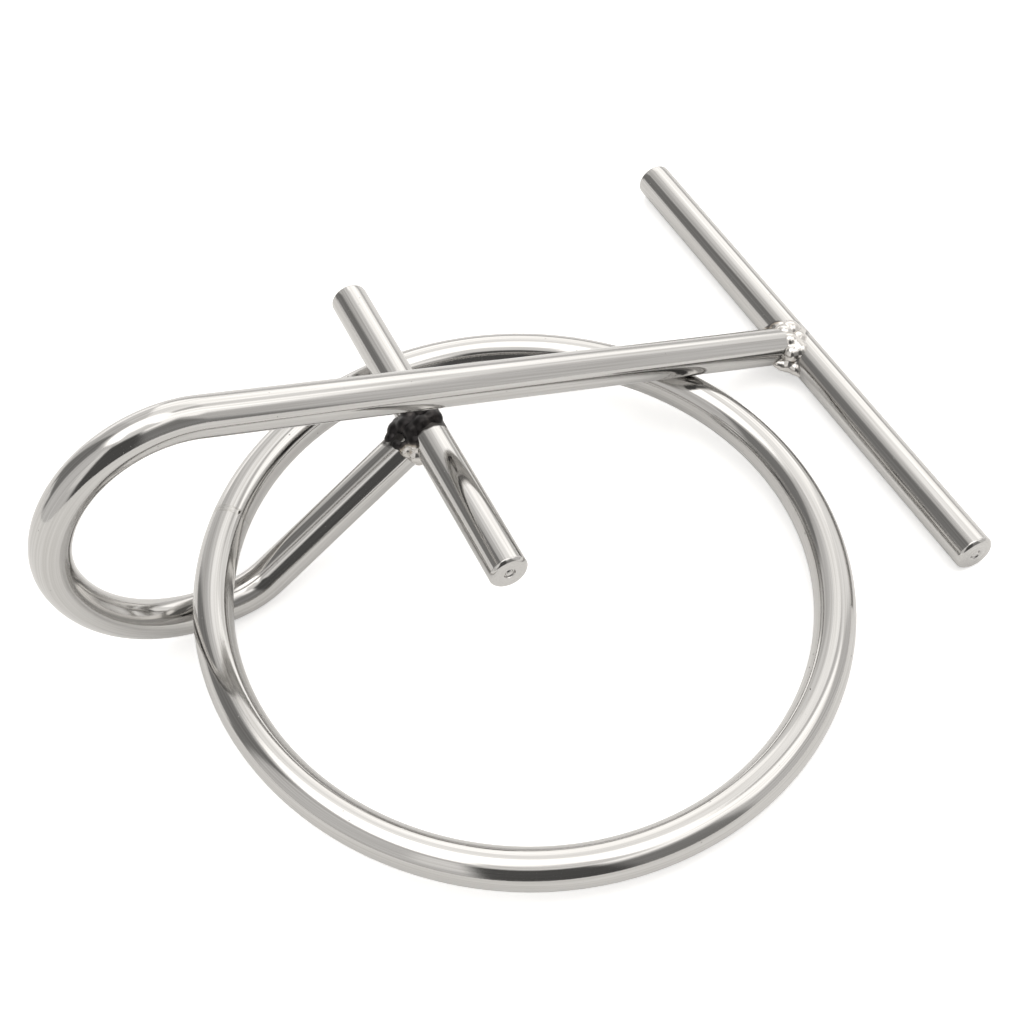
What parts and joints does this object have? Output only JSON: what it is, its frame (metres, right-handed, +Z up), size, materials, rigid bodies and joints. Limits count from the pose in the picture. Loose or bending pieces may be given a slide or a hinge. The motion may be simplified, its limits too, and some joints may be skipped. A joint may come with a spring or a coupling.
{
  "type": "metal ring disentanglement puzzle",
  "caption": "Closed steel ring trapped on a bent steel hook with a crossbar welded at each end; the ring comes off only through the slot beside the short crossbar.",
  "frame": {"origin": "centre of the bounding box, on the table that the puzzle rests on", "axes": "+Z up from the table; +X along the hook's long arm towards the long crossbar; +Y towards the crossbars' far ends"},
  "size_m": [0.132, 0.1164, 0.0496],
  "materials": {
    "polished_rod": "polished round rod with a fine lengthwise grain",
    "ground_weld": "butt weld ground and polished flush",
    "weld_bead": "as-welded bead, lumpy, part polished, with dark heat tint"
  },
  "bodies": {
    "hook": {"hook_rod": "polished_rod", "long_crossbar": "polished_rod", "short_crossbar": "polished_rod", "long_joint_weld_near": "weld_bead", "long_joint_weld_far": "weld_bead", "short_joint_weld_near": "weld_bead", "short_joint_weld_far": "weld_bead"},
    "ring": {"ring_bar": "polished_rod", "ring_butt_weld": "ground_weld"}
  },
  "joints": [
    {"name": "ring_turn", "type": "hinge", "parent": "hook", "child": "ring", "pos_m": [-0.00244, -0.00983, 0.00664], "axis": [0.0488, -0.0628, 0.9968], "continuous": true}
  ]
}
